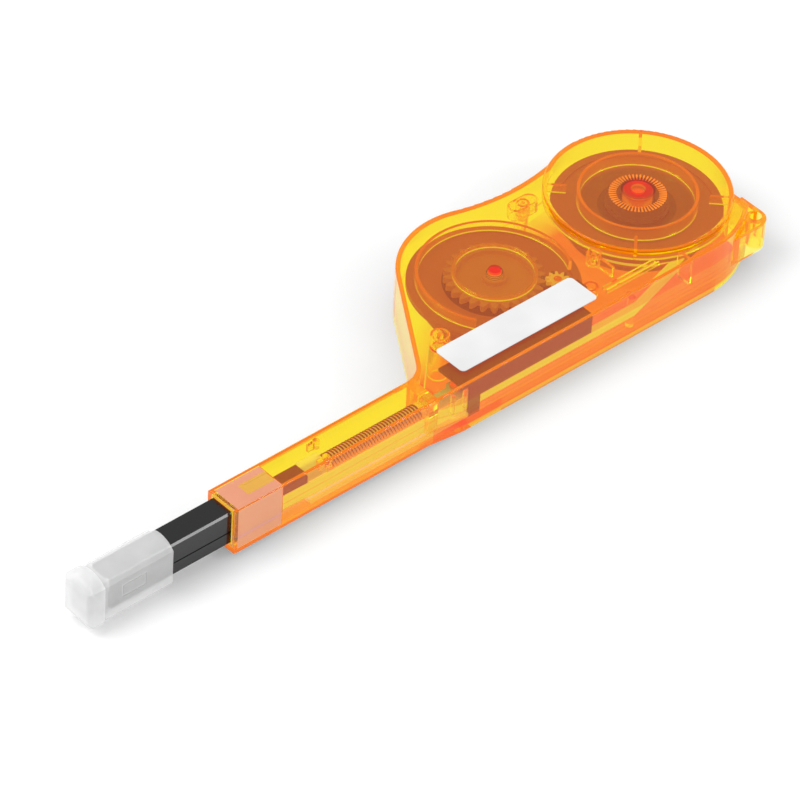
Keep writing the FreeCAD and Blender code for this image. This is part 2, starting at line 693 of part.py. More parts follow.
UPPER = [cut("upper_half", casing, lower_region)]
UPPER.append(tube("dome_ring_rib", "dome_ring", "dome_ring - rib", "supply_x", "reel_y",
                  ("dome_ring_low", DOME_ROOF)))
UPPER.append(tube("dome_skirt", "rear_radius", "rear_radius - wall", "supply_x", "reel_y",
                  ("skirt_low", ROOF)))
UPPER.append(tube("dome_boss_rib", "dome_boss", "axle_radius + fit", "supply_x", "reel_y",
                  ("dome_boss_low", DOME_ROOF)))
for number in range(4):
    UPPER.append(spoke(f"dome_spoke_{number + 1}", "supply_x", "reel_y",
                       f"{45 + 90 * number}", ("spoke_inner", "rear_radius - wall / 2"),
                       "rib", ("spoke_low", DOME_ROOF)))
UPPER.append(tube("front_ring_rib", "front_ring", "front_ring - rib", "takeup_x", "reel_y",
                  ("front_ring_low", ROOF)))
UPPER.append(arc_tube("front_arc", "arc_wall", "arc_wall - rib", "takeup_x", "reel_y",
                      ("arc_low", ROOF), "arc_start", "arc_end"))
UPPER.append(post("takeup_cap", "post_cap_radius", "takeup_x", "reel_y",
                  ("axle_top + fit", ROOF)))
UPPER.append(post("pinion_pin_post", "pinion_pin", "pinion_x", "pinion_y", ("gear_low", ROOF)))
for name, x, y, radius in (("mid", "mid_boss_x", "mid_boss_y", "mid_boss"),
                           ("latch", "latch_x", "latch_y", "latch_boss"),
                           ("return", "return_post_x", "return_post_y", "return_post")):
    UPPER.append(tube(name + "_boss", radius, f"{radius} - boss_wall", x, y,
                      ("ceiling - boss_deep", ROOF)))
    UPPER.append(post(name + "_pip", f"{radius} / 3", x, y, ("ceiling - boss_deep", ROOF)))
UPPER.append(post("latch_plug", "latch_boss - boss_wall - turn_fit", "latch_x", "latch_y",
                  ("ceiling - boss_deep - 2", "ceiling - boss_deep + boss_wall")))
UPPER.append(spoke("mid_rib", "mid_boss_x", "mid_boss_y", "-90",
                   ("mid_boss - boss_wall / 2", "7"), "rib", ("ceiling - boss_deep", ROOF)))

LATCH_X = ("latch_x - latch_length / 2", "latch_x + latch_length / 2")
LATCH_Y = ("latch_y - latch_width / 2", "latch_y + latch_width / 2")


def oblong(name, inset, z):
    """The latch's block with round ends, moved inwards by a wall."""
    half = f"latch_width / 2 - {inset}"
    middles = (LATCH_X[0] + " + latch_width / 2", LATCH_X[1] + " - latch_width / 2")
    wide = box(name + "_middle", middles, (f"latch_y - ({half})", f"latch_y + {half}"), z)
    ends = [post(f"{name}_end_{number}", half, x, "latch_y", z)
            for number, x in enumerate(middles, 1)]
    return fuse(name, [wide, *ends])


UPPER.append(cut("latch_frame", oblong("latch_block", "0", ("ceiling - boss_deep", ROOF)),
                 oblong("latch_room", "boss_wall", ("tape_z", "ceiling"))))
UPPER.append(box("stop_rib", ("stop_x - rib / 2", "stop_x + rib / 2"),
                 ("side_y + wall / 2", "side_y + wall + 3.9"), ("tape_z", ROOF)))
for number, y in enumerate(("nozzle_y + 1.65", "nozzle_y + 0.25")):
    UPPER.append(box(f"rail_{number + 1}", ("rail_front", "rail_rear"),
                     (f"{y} - rail_thick / 2", f"{y} + rail_thick / 2"),
                     ("ceiling - rail_deep", ROOF)))
for number, x in enumerate(("neck_rib_front", "neck_rib_rear")):
    UPPER.append(box(f"neck_rib_{number + 1}", (f"{x} - rib / 2", f"{x} + rib / 2"),
                     ("side_y + wall / 2", "side_y + wall + neck_rib_deep"),
                     ("body_parting + 2.5", "rack_low - run_gap")))
for side, name in (("-", "near"), ("+", "far")):
    y = f"nozzle_y {side} (tail_half + hook_radius)"
    x = f"hook_x {side} hook_radius"
    UPPER.append(post(f"hook_end_{name}", "hook_radius", x, y, ("collar_top + run_gap", ROOF)))
    UPPER.append(box(f"hook_stem_{name}", (f"{x} - 3 * hook_radius", x),
                     (f"{y} - rib / 2", f"{y} + rib / 2"), ("collar_top + run_gap", ROOF)))
SEAT_X = ("seat_front", "seat_front + seat_thick")
seat_wide = box("seat_wide", SEAT_X, ("side_y + wall / 2", "far_y - wall / 2"),
                ("nozzle_parting", ROOF))
seat_deep = box("seat_deep", SEAT_X, ("side_y + wall + turn_fit", "far_y - wall - turn_fit"),
                ("bar_top + run_gap", ROOF))
seat_block = fuse("seat_block", [seat_wide, seat_deep])
SLOT_X = (SEAT_X[0] + " - 1", SEAT_X[1] + " + 1")
seat_slots = [box("seat_slot_shaft", SLOT_X,
                  ("nozzle_y - shaft_side / 2 - slide_fit", "nozzle_y + shaft_side / 2 + slide_fit"),
                  ("bar_low", "axis_z + shaft_side / 2 + slide_fit"))]
for number, side in enumerate("-+"):
    seat_slots.append(box(f"seat_slot_tape_{number + 1}", SLOT_X,
                          (f"nozzle_y {side} tape_offset - 0.2", f"nozzle_y {side} tape_offset + 0.2"),
                          ("bar_low", "pack_top + 0.2")))
UPPER.append(cut("seat", seat_block, fuse("seat_slots", seat_slots)))
upper_shell = node(fuse("upper_shell", UPPER), "upper_shell")

# ---------------------------------------------------------- bush and guide tube

bush_skin = box("bush_skin", ("mouth_x + wall + fit", "bush_rear"),
                ("side_y + thin_wall + fit", "far_y - thin_wall - fit"),
                ("nozzle_low + thin_wall + fit", "casing_top - thin_wall - fit"))
bush_bore = box("bush_bore", ("mouth_x", "bush_rear + 1"),
                ("nozzle_y - guide_width / 2 - slide_fit", "nozzle_y + guide_width / 2 + slide_fit"),
                ("guide_low - slide_fit", "guide_top + slide_fit"))
bush_notch = box("bush_notch", ("notch_front", "bush_rear + 1"),
                 ("nozzle_y - 1.4", "nozzle_y + 1.4"),
                 ("casing_top - thin_wall - fit - notch_deep", "casing_top"))
nose_bush = node(cut("nose_bush", bush_skin, fuse("bush_voids", [bush_bore, bush_notch])),
                 "nose_bush")

guide = new_body("guide_tube")
NY = "nozzle_y"
HALF = "guide_width / 2"


def trimmed(name, body, half, low, high, trim, x):
    """A rectangle across the nozzle with its four corners cut off."""
    left, right = f"{NY} + {half}", f"{NY} - {half}"
    return polygon(name, [
        (f"{right} + {trim}", low), (f"{left} - {trim}", low), (left, f"{low} + {trim}"),
        (left, f"{high} - {trim}"), (f"{left} - {trim}", high), (f"{right} + {trim}", high),
        (right, f"{high} - {trim}"), (right, f"{low} + {trim}")], "YZ", body, x)


section = trimmed("guide_section", guide, HALF, "guide_low", "guide_top", "guide_chamfer",
                  "guide_tip")
pad(guide, section, "guide_rear - guide_tip", "Housing")
tail = rectangle("tail_section", (f"{NY} - tail_half", f"{NY} + tail_half"),
                 ("axis_z - tail_half", "axis_z + tail_half"), "YZ", guide, "guide_rear - 0.5")
pad(guide, tail, "tail_rear - guide_rear + 0.5", "Tail")
bore = rectangle("bore_section", (f"{NY} - bore_half", f"{NY} + bore_half"),
                 ("bore_low", "bore_top"), "YZ", guide, "guide_tip")
pocket(guide, bore, "guide_rear - guide_back - guide_tip", "Bore")
shaft_way = rectangle("shaft_way_section", (f"{NY} - tail_bore", f"{NY} + tail_bore"),
                      ("axis_z - tail_bore", "axis_z + tail_bore"), "YZ", guide,
                      "guide_rear - guide_back - 0.5")
pocket(guide, shaft_way, "tail_rear - guide_rear + guide_back + 1", "ShaftWay")
for side, name in (("-", "Right"), ("+", "Left")):
    slot = rectangle(f"tape_slot_{name.lower()}",
                     (f"{NY} {side} tape_offset - 0.25", f"{NY} {side} tape_offset + 0.25"),
                     ("bore_low", "pack_top + 0.6"), "YZ", guide, "guide_rear - guide_back - 0.5")
    pocket(guide, slot, "guide_back + 1", "TapeSlot" + name)
line = rectangle("side_line", ("guide_tip + 0.8", "guide_rear - 1"),
                 ("groove_z - groove_height / 2", "groove_z + groove_height / 2"), "XZ", guide,
                 f"{NY} - {HALF} + groove_depth")
pocket(guide, line, "groove_depth + 0.1", "SideLine")
node(guide, "guide_tube")

# ------------------------------------------------------ slide link, rack, spring

link = new_body("slide_link")
HALF_BAR = "bar_width / 2"
FORK = "shaft_foot + 0.2"
fork_front = "shaft_eye_x - shaft_foot - 0.2 - stroke"
bar = polygon("bar_plan", [
    ("tail_rear", f"{NY} - {HALF_BAR}"), ("leg_front", f"{NY} - {HALF_BAR}"),
    ("leg_front", "leg_y + leg_thick"), ("bar_rear", "leg_y + leg_thick"),
    ("bar_rear", f"{NY} - ({FORK})"), (fork_front, f"{NY} - ({FORK})"),
    (fork_front, f"{NY} + {FORK}"), ("bar_rear - 3", f"{NY} + {FORK}"),
    ("bar_rear - 3", f"{NY} + {HALF_BAR}"), ("tail_rear", f"{NY} + {HALF_BAR}")],
    "XY", link, "bar_low")
pad(link, bar, "bar_thick", "Bar")
collar = rectangle("collar_section", (f"{NY} - tail_half", f"{NY} + tail_half"),
                   ("bar_low + bar_thick / 2", "collar_top"), "YZ", link, "tail_rear")
pad(link, collar, "collar_rear - tail_rear", "Collar")
collar_way = rectangle("collar_way", (f"{NY} - tail_bore", f"{NY} + tail_bore"),
                       ("axis_z - tail_bore", "axis_z + tail_bore"), "YZ", link, "tail_rear - 0.5")
pocket(link, collar_way, "collar_rear - tail_rear + 1", "CollarWay")
node(link, "slide_link")

rack = new_body("rack_slider")
plate = polygon("plate_plan", [
    ("rack_front", "leg_y"), ("rack_rear", "leg_y"), ("rack_rear", "rack_edge_y"),
    ("rack_end", "rack_edge_y"), ("rack_end", "rack_root_y"), ("rack_start", "rack_root_y"),
    ("rack_start", "rack_edge_y"), ("rack_front", "rack_edge_y")], "XY", rack, "rack_low")
pad(rack, plate, "rack_top - rack_low", "Plate")
leg = polygon("leg_side", [
    ("leg_front", "bar_low"), ("bar_rear", "bar_low"), ("bar_rear", "leg_low"),
    ("rack_rear", "leg_low"), ("rack_rear", "rack_low + 0.2"), ("leg_front", "rack_low + 0.2")],
    "XZ", rack, "leg_y + leg_thick")
pad(rack, leg, "leg_thick", "Leg")
TOOTH_X = "pinion_x + tooth_step * (rack_lead - 0.5)"
LEAN = "tan(pressure_angle)"
ROOT_HALF = f"(tooth_step - backlash) / 4 + (rack_pitch_y - rack_root_y) * {LEAN}"
TIP_HALF = f"(tooth_step - backlash) / 4 - (rack_tip_y - rack_pitch_y) * {LEAN}"
tooth = polygon("rack_tooth", [
    (f"{TOOTH_X} - ({ROOT_HALF})", "rack_root_y"), (f"{TOOTH_X} + {ROOT_HALF}", "rack_root_y"),
    (f"{TOOTH_X} + {TIP_HALF}", "rack_tip_y"), (f"{TOOTH_X} - ({TIP_HALF})", "rack_tip_y")],
    "XY", rack, "rack_low")
first_tooth = pad(rack, tooth, "rack_top - rack_low", "Tooth")
row = rack.newObject("PartDesign::LinearPattern", "Teeth")
row.Originals = [first_tooth]
row.Direction = (tooth, ["H_Axis"])
row.Reversed = True
bind(row, "Length", "tooth_step * (rack_teeth - 1)")
bind(row, "Occurrences", "rack_teeth")
rack.Tip = row
node(rack, "rack_slider")


def coil(outer, wire, turns, length):
    """A coil spring standing on z = 0, with a six-sided wire."""
    radius = (outer - wire) / 2
    path = Part.makeHelix((length - wire) / turns, length - wire, radius)
    path.translate(Vector(0, 0, wire / 2))
    ring = [Vector(radius + wire / 2 * math.cos(math.radians(60 * step + 30)), 0,
                   wire / 2 + wire / 2 * math.sin(math.radians(60 * step + 30)))
            for step in range(6)]
    profile = Part.makePolygon(ring + ring[:1])
    shell = Part.Wire(path.Edges).makePipeShell([profile], True, True)
    return shell


def made(name, shape):
    """A document object for a shape that has to be worked out by code."""
    thing = doc.addObject("Part::Feature", name)
    thing.Shape = shape
    return thing


spring_length = size("seat_front - collar_rear")
main_spring = made("main_spring", coil(size("spring_outer"), size("spring_wire"),
                                       size("spring_turns"), spring_length))
main_spring.Placement = Placement(Vector(), Rotation(Vector(0, 1, 0), 90))
for axis, place in zip("xyz", ("collar_rear", "nozzle_y", "axis_z")):
    bind(main_spring, f"Placement.Base.{axis}", place)
node(main_spring, "main_spring")

# ------------------------------------------------------------- head and its shaft

shaft_bar = new_body("shaft_bar")
shaft_section = trimmed("shaft_section", shaft_bar, "shaft_side / 2", "axis_z - shaft_side / 2",
                        "axis_z + shaft_side / 2", "shaft_chamfer", "head_nose_x + head_length")
pad(shaft_bar, shaft_section, "shaft_eye_x - head_nose_x - head_length", "Bar")
shaft_ring = post("shaft_ring", "shaft_eye", "shaft_eye_x", "nozzle_y",
                  ("axis_z - shaft_side / 2", "axis_z + shaft_side / 2"))
shaft_hole = post("shaft_hole", "shaft_pin + turn_fit", "shaft_eye_x", "nozzle_y",
                  ("axis_z - shaft_side", "axis_z + shaft_side"))
head_shaft = node(cut("head_shaft", fuse("shaft_whole", [shaft_bar, shaft_ring]), shaft_hole),
                  "head_shaft")
HEAD_Z = ("axis_z - head_height / 2", "axis_z + head_height / 2")
head_block = box("head_block", ("head_nose_x", "head_nose_x + head_length"),
                 ("nozzle_y - head_half", "nozzle_y + head_half"), HEAD_Z)
head_nose = post("head_nose", "head_half", "head_nose_x", "nozzle_y", HEAD_Z)
head_tip = node(fuse("head_tip", [head_block, head_nose]), "head_tip")

# ------------------------------------------------------------------- gear train


def gear_face(teeth, module, outer, phase):
    """A gear outline with involute flanks in short straight steps."""
    pressure = math.radians(size("pressure_angle"))
    pitch = teeth * module / 2
    base = pitch * math.cos(pressure)
    root = pitch - 1.25 * module
    involute = math.tan(pressure) - pressure
    half_pitch = math.pi / 2 / teeth - size("backlash") / 4 / pitch
    points = []
    for number in range(teeth):
        middle = math.radians(phase) + 2 * math.pi * number / teeth
        flank = [(root, half_pitch + involute)] if root < base else []
        lowest = max(root, base)
        for step in range(5):
            radius = lowest + (outer - lowest) * step / 4
            angle = math.acos(min(1.0, base / radius))
            flank.append((radius, half_pitch + involute - (math.tan(angle) - angle)))
        spots = [(radius, middle - turn) for radius, turn in flank]
        spots += [(radius, middle + turn) for radius, turn in reversed(flank)]
        points += [Vector(r * math.cos(a), r * math.sin(a), 0) for r, a in spots]
    return Part.Face(Part.makePolygon(points + points[:1]))


def gear(name, teeth, module, outer, phase, x, y, z):
    """A toothed disc at an axle, between the heights (low, high)."""
    low, high = z
    face = gear_face(int(size(teeth)), size(module), size(outer), size(phase))
    disc = made(name, face.extrude(Vector(0, 0, size(f"({high}) - ({low})"))))
    for axis, place in zip("xyz", (x, y, low)):
        bind(disc, f"Placement.Base.{axis}", place)
    return disc


GEAR_Z = ("gear_low", "gear_top")
gear_disc = gear("gear_disc", "gear_teeth", "gear_module", "gear_pitch + addendum * gear_module",
                 "pinion_angle", "takeup_x", "reel_y", GEAR_Z)
gear_dish_tool = tube("gear_dish_tool", "gear_dish", "post_spring_outer / 2 + 0.9", "takeup_x",
                      "reel_y", ("web_top", "gear_top + 1"))
gear_spring_seat = post("gear_spring_seat", "post_spring_outer / 2 + 0.15", "takeup_x", "reel_y",
                        ("web_top", "gear_top + 1"))
gear_bore = post("gear_bore", "axle_radius + turn_fit", "takeup_x", "reel_y",
                 ("gear_low - 1", "gear_top + 1"))
takeup_gear = node(cut("takeup_gear", gear_disc,
                       fuse("gear_voids", [gear_dish_tool, gear_spring_seat, gear_bore])),
                   "takeup_gear")

lower_pinion = gear("lower_pinion", "pinion_teeth", "gear_module",
                    "pinion_pitch + gear_module", "pinion_angle + 180 + 180 / pinion_teeth",
                    "pinion_x", "pinion_y", GEAR_Z)
upper_pinion = gear("upper_pinion", "rack_pinion_teeth", "rack_module",
                    "rack_pitch_radius + rack_module", "-90", "pinion_x", "pinion_y",
                    ("gear_top", "rack_top"))
pinion_bore = post("pinion_bore", "pinion_pin + turn_fit", "pinion_x", "pinion_y",
                   ("gear_low - 1", "rack_top + 1"))
drive_pinion = node(cut("drive_pinion", fuse("pinion_whole", [lower_pinion, upper_pinion]),
                        pinion_bore), "drive_pinion")

# ------------------------------------------------------------------------ reels

BORE = "axle_radius + turn_fit"
RIM = "reel_radius - rim_width"
reel_profile = [
    (BORE, "reel_low"), ("lower_radius", "reel_low"), ("lower_radius", "reel_low + lower_flange"),
    ("core_radius", "reel_low + lower_flange"), ("core_radius", "reel_top - upper_flange"),
    ("reel_radius", "reel_top - upper_flange"), ("reel_radius", "reel_top"), (RIM, "reel_top"),
    (RIM, "reel_top - rim_groove"), ("hub_radius", "reel_top - rim_groove"),
    ("hub_radius", "reel_top"), (BORE, "reel_top")]
for side in ("takeup", "supply"):
    reel = revolve(side + "_reel", reel_profile, side + "_x", "reel_y")
    node(reel, side + "_reel")
    tape = tube(side + "_roll", side + "_pack", "core_radius + 0.02", side + "_x", "reel_y",
                ("pack_low", "pack_top"))
    node(tape, side + "_tape")

CROWN_LOW = "reel_top + crown_base_thick"
crown = revolve("supply_crown", [
    ("crown_inner_radius", "reel_top"), ("crown_base", "reel_top"), ("crown_base", CROWN_LOW),
    ("crown_outer_radius", CROWN_LOW), ("crown_outer_radius", "crown_top"), ("crown_inner_radius", "crown_top")],
    "supply_x", "reel_y")
NOTCH = "crown_outer_radius * sin(180 / crown_teeth)"
notch = polygon("crown_notch", [
    ("0", "crown_top - crown_tooth"), (f"{NOTCH} * 1.05", "crown_top + 0.035"),
    (f"-{NOTCH} * 1.05", "crown_top + 0.035")], "YZ", crown, "crown_inner_radius - 1")
first_notch = pocket(crown, notch, "crown_outer_radius - crown_inner_radius + 2", "Notch")
crown_ring = crown.newObject("PartDesign::PolarPattern", "Notches")
crown_ring.Originals = [first_notch]
crown_ring.Axis = (crown.Group[0], ["V_Axis"])
crown_ring.Angle = 360
bind(crown_ring, "Occurrences", "crown_teeth")
crown.Tip = crown_ring
node(crown, "supply_crown")

takeup_spring = made("takeup_spring", coil(size("post_spring_outer"), size("post_spring_wire"),
                                           size("post_spring_turns"),
                                           size("ceiling - web_top")))
for axis, place in zip("xyz", ("takeup_x", "reel_y", "web_top")):
    bind(takeup_spring, f"Placement.Base.{axis}", place)
node(takeup_spring, "takeup_spring")

# ---------------------------------------------------------------- cleaning tape


def tangent_angle(first, second, first_radius, second_radius):
    """Direction of the line that passes two circles; a radius is positive with the
    circle's centre on the left of the line and negative with it on the right."""
    reach = second - first
    lean = math.asin((second_radius - first_radius) / reach.Length)
    return math.atan2(reach.y, reach.x) - lean


def touch(centre, radius, angle):
    """Where a line of that direction touches the circle."""
    return centre + Vector(math.sin(angle), -math.cos(angle), 0) * radius


def bend(centre, radius, first, last):
    """The arc of a path between two directions of travel."""
    middle = touch(centre, radius, (first + last) / 2)
    return Part.Arc(touch(centre, radius, first), middle, touch(centre, radius, last)).toShape()


def run(start, end):
    return Part.makeLine(start, end)


def tape_path():
    """The tape's middle line from the supply roll, round the head, to the take-up roll."""
    supply = Vector(size("supply_x"), size("reel_y"), 0)
    takeup = Vector(size("takeup_x"), size("reel_y"), 0)
    corner = Vector(size("corner_post_x"), size("corner_post_y"), 0)
    nose = Vector(size("head_nose_x"), size("nozzle_y"), 0)
    back = Vector(size("return_post_x"), size("return_post_y"), 0)
    gap = size("post_gap")
    turn_radius = 1.2
    nose_radius = size("head_half") + gap
    corner_radius = size("corner_post") + gap
    back_radius = -(size("return_post") + gap)
    supply_radius = size("supply_pack") + gap
    takeup_radius = -(size("takeup_pack") + gap)
    low_y = size("nozzle_y - tape_offset")
    high_y = size("nozzle_y + tape_offset")
    gate_x = size("guide_rear")
    turn = Vector(size("seat_front + seat_thick") + 0.6, high_y + turn_radius, 0)

    outward = tangent_angle(corner, supply, corner_radius, supply_radius)
    gate_low = Vector(gate_x, low_y, 0)
    gate_high = Vector(gate_x, high_y, 0)
    into_nose = tangent_angle(nose, gate_low, nose_radius, 0)
    home = tangent_angle(turn, back, turn_radius, back_radius)
    wind = tangent_angle(back, takeup, back_radius, takeup_radius)
    corner_start = touch(corner, corner_radius, 0)
    nose_low = touch(nose, nose_radius, into_nose)
    nose_high = Vector(nose_low.x, 2 * nose.y - nose_low.y, 0)
    nose_front = nose - Vector(nose_radius, 0, 0)
    return Part.Wire([
        run(touch(supply, supply_radius, outward), touch(corner, corner_radius, outward)),
        bend(corner, corner_radius, outward, 0),
        run(corner_start, gate_low),
        run(gate_low, nose_low),
        Part.Arc(nose_low, nose_front, nose_high).toShape(),
        run(nose_high, gate_high),
        run(gate_high, touch(turn, turn_radius, 0)),
        bend(turn, turn_radius, 0, home),
        run(touch(turn, turn_radius, home), touch(back, back_radius, home)),
        bend(back, back_radius, home, wind),
        run(touch(back, back_radius, wind), touch(takeup, takeup_radius, wind))])


half_tape = size("tape_thick") / 2
path = tape_path()
ribbons = [path.makeOffset2D(side * half_tape, 2, True, True) for side in (-1, 1)]
strips = [ribbon.extrude(Vector(0, 0, size("casing_top"))) for ribbon in ribbons]
tape_wall = made("tape_wall", strips[0].fuse(strips[1]).removeSplitter())
climb = "(head_nose_x - 4)"
tape_band = side_profile("tape_band", [
    ("supply_x", "pack_low"), ("supply_x", "pack_top"), ("tape_rise_x", "pack_top"),
    ("head_nose_x", "axis_z + tape_width / 2"), (climb, "axis_z + tape_width / 2"),
    (climb, "axis_z - tape_width / 2"), ("head_nose_x", "axis_z - tape_width / 2"),
    ("tape_rise_x", "pack_low")])
cleaning_tape = node(common("cleaning_tape", tape_wall, tape_band), "cleaning_tape")

# ------------------------------------------------------------------------ label

label = new_body("label")
plan = rectangle("label_plan", ("label_x - label_length / 2", "label_x + label_length / 2"),
                 ("label_y - label_width / 2", "label_y + label_width / 2"), "XY", label,
                 "casing_top")
label_pad = pad(label, plan, "label_thick", "Sheet")
upright = [f"Edge{number}" for number in pick_edges(
    label_pad.Shape, lambda edge: edge.BoundBox.ZLength > size("label_thick") / 2)]
label_round = label.newObject("PartDesign::Fillet", "Corners")
label_round.Base = (label_pad, upright)
bind(label_round, "Radius", "label_corner")
node(label, "label")

# -------------------------------------------------------------------------- cap


def log(name, radius, y, z, x):
    """A cylinder lying along X between (first, last)."""
    first, last = x
    bar_round = doc.addObject("Part::Cylinder", name)
    bar_round.Placement = Placement(Vector(), Rotation(Vector(0, 1, 0), 90))
    bind(bar_round, "Radius", radius)
    bind(bar_round, "Height", f"({last}) - ({first})")
    for axis, place in zip("xyz", (first, y, z)):
        bind(bar_round, f"Placement.Base.{axis}", place)
    return bar_round


def crowned(name, x, step):
    """A block with an arched top, grown outwards by a step."""
    half = f"(cap_width / 2 + {step})"
    top = f"(cap_crown + {step})"
    shoulder = f"(cap_shoulder + {step})"
    rise = "(cap_crown - cap_shoulder)"
    radius = f"({half} * {half} + {rise} * {rise}) / (2 * {rise})"
    sides = (f"nozzle_y - {half}", f"nozzle_y + {half}")
    stem = box(name + "_stem", x, sides, (f"cap_low - {step}", shoulder))
    block = box(name + "_block", x, sides, (shoulder, top))
    arch = log(name + "_arch", radius, "nozzle_y", f"{top} - {radius}", x)
    return fuse(name, [stem, common(name + "_crown", block, arch)])


cap_whole = crowned("cap_whole", ("cap_joint", "cap_rear"), "0")
GUIDE_Y = ("nozzle_y - guide_width / 2 - slide_fit", "nozzle_y + guide_width / 2 + slide_fit")
GUIDE_Z = ("guide_low - slide_fit", "guide_top + slide_fit")
cap_bore = box("cap_bore", ("cap_joint - 1", "cap_rear + 1"), GUIDE_Y, GUIDE_Z)
CAP_SIDE = ("nozzle_y - cap_width / 2 - 1", "nozzle_y - cap_width / 2 + 0.15")
cap_frame = cut("cap_frame", box("frame_outer", ("cap_joint + 5.3", "cap_joint + 12.4"), CAP_SIDE,
                                 ("axis_z - 1.3", "axis_z + 2.4")),
                box("frame_inner", ("cap_joint + 5.7", "cap_joint + 12"), CAP_SIDE,
                    ("axis_z - 0.9", "axis_z + 2")))
cap_body = node(cut("cap_body", cap_whole, fuse("cap_voids", [cap_bore, cap_frame])), "cap_body")

lid_plain = crowned("lid_plain", ("cap_front", "cap_joint"), "lid_step")
front_x = size("cap_front")
lid_soft = rounded("lid_soft", lid_plain, lambda edge: abs(edge.BoundBox.XMin - front_x) < 1e-4
                   and abs(edge.BoundBox.XMax - front_x) < 1e-4, "lid_round")
plug = box("lid_plug_block", ("cap_joint - 0.5", "cap_joint + lid_plug"),
           ("nozzle_y - guide_width / 2", "nozzle_y + guide_width / 2"), ("guide_low", "guide_top"))
plug_room = box("lid_room", ("cap_front + lid_wall", "cap_joint + lid_plug + 1"),
                ("nozzle_y - guide_width / 2 + rib", "nozzle_y + guide_width / 2 - rib"),
                ("guide_low + rib", "guide_top - rib"))
cap_lid = node(cut("cap_lid", fuse("lid_whole", [lid_soft, plug]), plug_room), "cap_lid")

# ------------------------------------------------------------------------ files

doc.recompute()
os.makedirs("parts", exist_ok=True)
for thing in doc.Objects:
    if "Invalid" in thing.State or "Error" in thing.State:
        raise RuntimeError(f"{thing.Name} did not compute")
for thing in NODES:
    if thing.Shape.isNull() or not thing.Shape.isValid():
        raise RuntimeError(f"{thing.Label} has no valid shape")
    thing.Shape.exportStep(f"parts/{thing.Label}.step")
    print(thing.Label, len(thing.Shape.Solids), round(thing.Shape.Volume, 2))
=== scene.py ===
# %% [markdown]
# A cassette cleaning pen for fibre connectors, dressed in Blender.
#
# The solids come from the imported model and keep their places. This lesson adds how the
# plastics look, with light that passes through the casing, and a copy of the main spring that
# stands in for it. Then it sets up a floor, lamps and a camera.

# %% Load the imported model
import math

import bmesh
import bpy
from mathutils import Matrix, Vector


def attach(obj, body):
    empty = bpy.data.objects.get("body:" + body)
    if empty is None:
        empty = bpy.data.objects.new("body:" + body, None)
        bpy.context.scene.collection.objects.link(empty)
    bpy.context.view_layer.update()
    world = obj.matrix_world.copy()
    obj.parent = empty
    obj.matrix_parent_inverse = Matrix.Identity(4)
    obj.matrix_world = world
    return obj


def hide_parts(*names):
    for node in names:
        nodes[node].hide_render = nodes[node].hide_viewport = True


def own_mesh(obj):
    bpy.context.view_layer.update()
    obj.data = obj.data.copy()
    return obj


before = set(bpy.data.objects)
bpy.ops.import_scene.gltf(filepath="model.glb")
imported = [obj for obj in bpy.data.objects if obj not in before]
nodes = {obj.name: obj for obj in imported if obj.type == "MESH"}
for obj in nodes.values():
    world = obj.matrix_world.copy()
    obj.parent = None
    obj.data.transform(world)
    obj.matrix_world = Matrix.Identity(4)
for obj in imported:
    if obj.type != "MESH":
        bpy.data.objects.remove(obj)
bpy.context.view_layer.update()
scene = bpy.context.scene
MM = 0.001

# %% [markdown]
# ## Sums on sockets
#
# A finish is a small graph of nodes. Wiring each Math node by hand hides what the sum is, so
# one class wraps a socket and lets Python's own signs stand for the nodes. Another class
# holds the material, and adds every other kind of node through one method.


# %% A socket that takes part in sums
class Wire:
    """A value in a finish's graph; a sum on it adds a Math node."""

    def __init__(self, finish, socket):
        self.finish = finish
        self.socket = socket

    def __add__(self, other):
        return self.finish.maths("ADD", self, other)

    def __sub__(self, other):
        return self.finish.maths("SUBTRACT", self, other)

    def __rsub__(self, other):
        return self.finish.maths("SUBTRACT", other, self)

    def __mul__(self, other):
        return self.finish.maths("MULTIPLY", self, other)

    def over(self, limit):
        return self.finish.maths("GREATER_THAN", self, limit)

    def under(self, limit):
        return self.finish.maths("LESS_THAN", self, limit)

    def largest(self, other):
        return self.finish.maths("MAXIMUM", self, other)

    def size(self):
        return self.finish.maths("ABSOLUTE", self)

    __radd__ = __add__
    __rmul__ = __mul__


